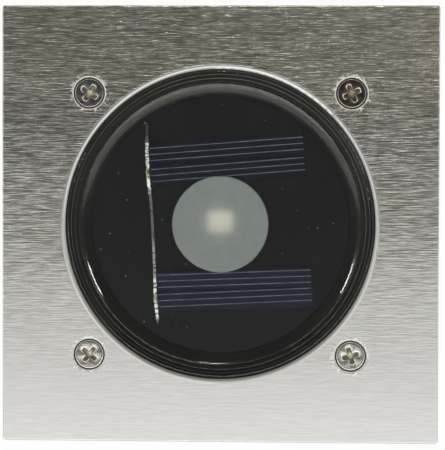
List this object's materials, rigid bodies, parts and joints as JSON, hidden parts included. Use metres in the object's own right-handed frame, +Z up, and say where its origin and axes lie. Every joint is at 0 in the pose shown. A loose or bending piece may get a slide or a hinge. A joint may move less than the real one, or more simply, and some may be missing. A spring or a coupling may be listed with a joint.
{
  "type": "solar in-ground light",
  "caption": "Square brushed-steel faceplate round a clear dish lens over solar cells and a frosted LED diffuser, on a round ground pot with a push-in spike.",
  "frame": {"origin": "centre of the ground plane, the underside of the pot's square flange skirt", "axes": "+Z up out of the ground, +X along the brush grain to the right in the picture, +Y to its top edge"},
  "size_m": [0.12, 0.12, 0.1395],
  "materials": {
    "steel_plate": "stainless sheet brushed along X",
    "screw_steel": "nickel-plated steel, worn in the recesses",
    "insert_brass": "turned",
    "clear_lens": "clear, polished",
    "gasket_rubber": "soft silicone",
    "pot_plastic": "moulded, fine satin texture",
    "spike_plastic": "moulded, fine satin texture",
    "tray_plastic": "moulded satin",
    "board_black": "black solder mask",
    "solar_silicon": "dark blue silicon with fine printed fingers",
    "tinned_strip": "tinned copper with lumpy solder",
    "diffuser_frost": "frosted, translucent",
    "reflector_white": "white moulded",
    "board_white": "white solder mask",
    "led_white": "ceramic white",
    "phosphor_yellow": "yellow phosphor gel",
    "board_green": "green solder mask",
    "chip_black": "moulded epoxy",
    "ferrite": "sintered grey ferrite",
    "capacitor_sleeve": "shrink sleeve over an aluminium can",
    "switch_case": "plated sheet",
    "knob_black": "moulded",
    "holder_plastic": "moulded satin",
    "nickel_contact": "nickel-plated spring steel",
    "battery_steel": "nickel-plated can",
    "battery_roll": "rolled electrodes",
    "battery_wrap": "green shrink sleeve, unprinted",
    "lead_red": "flexible insulation",
    "lead_black": "flexible insulation"
  },
  "bodies": {
    "pot": {"housing": "pot_plastic", "screw_inserts": "insert_brass", "lens_gasket": "gasket_rubber"},
    "cover_plate": {"faceplate": "steel_plate", "cover_screws": "screw_steel"},
    "switch_knob": {"switch_slider": "knob_black"},
    "battery": {"battery_can": "battery_steel", "battery_cap": "battery_steel", "battery_core": "battery_roll", "battery_sleeve": "battery_wrap"},
    "spike": {"ground_spike": "spike_plastic"},
    "solar_module": {"lens": "clear_lens", "carrier": "tray_plastic", "solar_board": "board_black", "upper_solar_cells": "solar_silicon", "lower_solar_cells": "solar_silicon", "bus_ribbon": "tinned_strip", "diffuser": "diffuser_frost", "reflector": "reflector_white", "led_board": "board_white", "led_package": "led_white", "led_phosphor": "phosphor_yellow", "driver_board": "board_green", "board_screws": "screw_steel", "driver_chip": "chip_black", "inductor": "ferrite", "capacitor": "capacitor_sleeve", "switch_body": "switch_case", "battery_holder": "holder_plastic", "holder_screws": "screw_steel", "positive_contact": "nickel_contact", "negative_contact": "nickel_contact", "battery_spring": "nickel_contact", "solar_lead_red": "lead_red", "solar_lead_black": "lead_black", "led_lead_red": "lead_red", "led_lead_black": "lead_black", "battery_lead_red": "lead_red", "battery_lead_black": "lead_black"}
  },
  "joints": [
    {"name": "module_lift", "type": "slide", "parent": "pot", "child": "solar_module", "axis": [0, 0, 1], "range_m": [0, 0.04]},
    {"name": "cover_lift", "type": "slide", "parent": "solar_module", "child": "cover_plate", "axis": [0, 0, 1], "range_m": [0, 0.025]},
    {"name": "switch_slide", "type": "slide", "parent": "solar_module", "child": "switch_knob", "axis": [1, 0, 0], "range_m": [0, 0.002]},
    {"name": "battery_pull", "type": "slide", "parent": "solar_module", "child": "battery", "axis": [0, 0, -1], "range_m": [0, 0.016]},
    {"name": "spike_pull", "type": "slide", "parent": "pot", "child": "spike", "axis": [0, 0, -1], "range_m": [0, 0.02]}
  ]
}
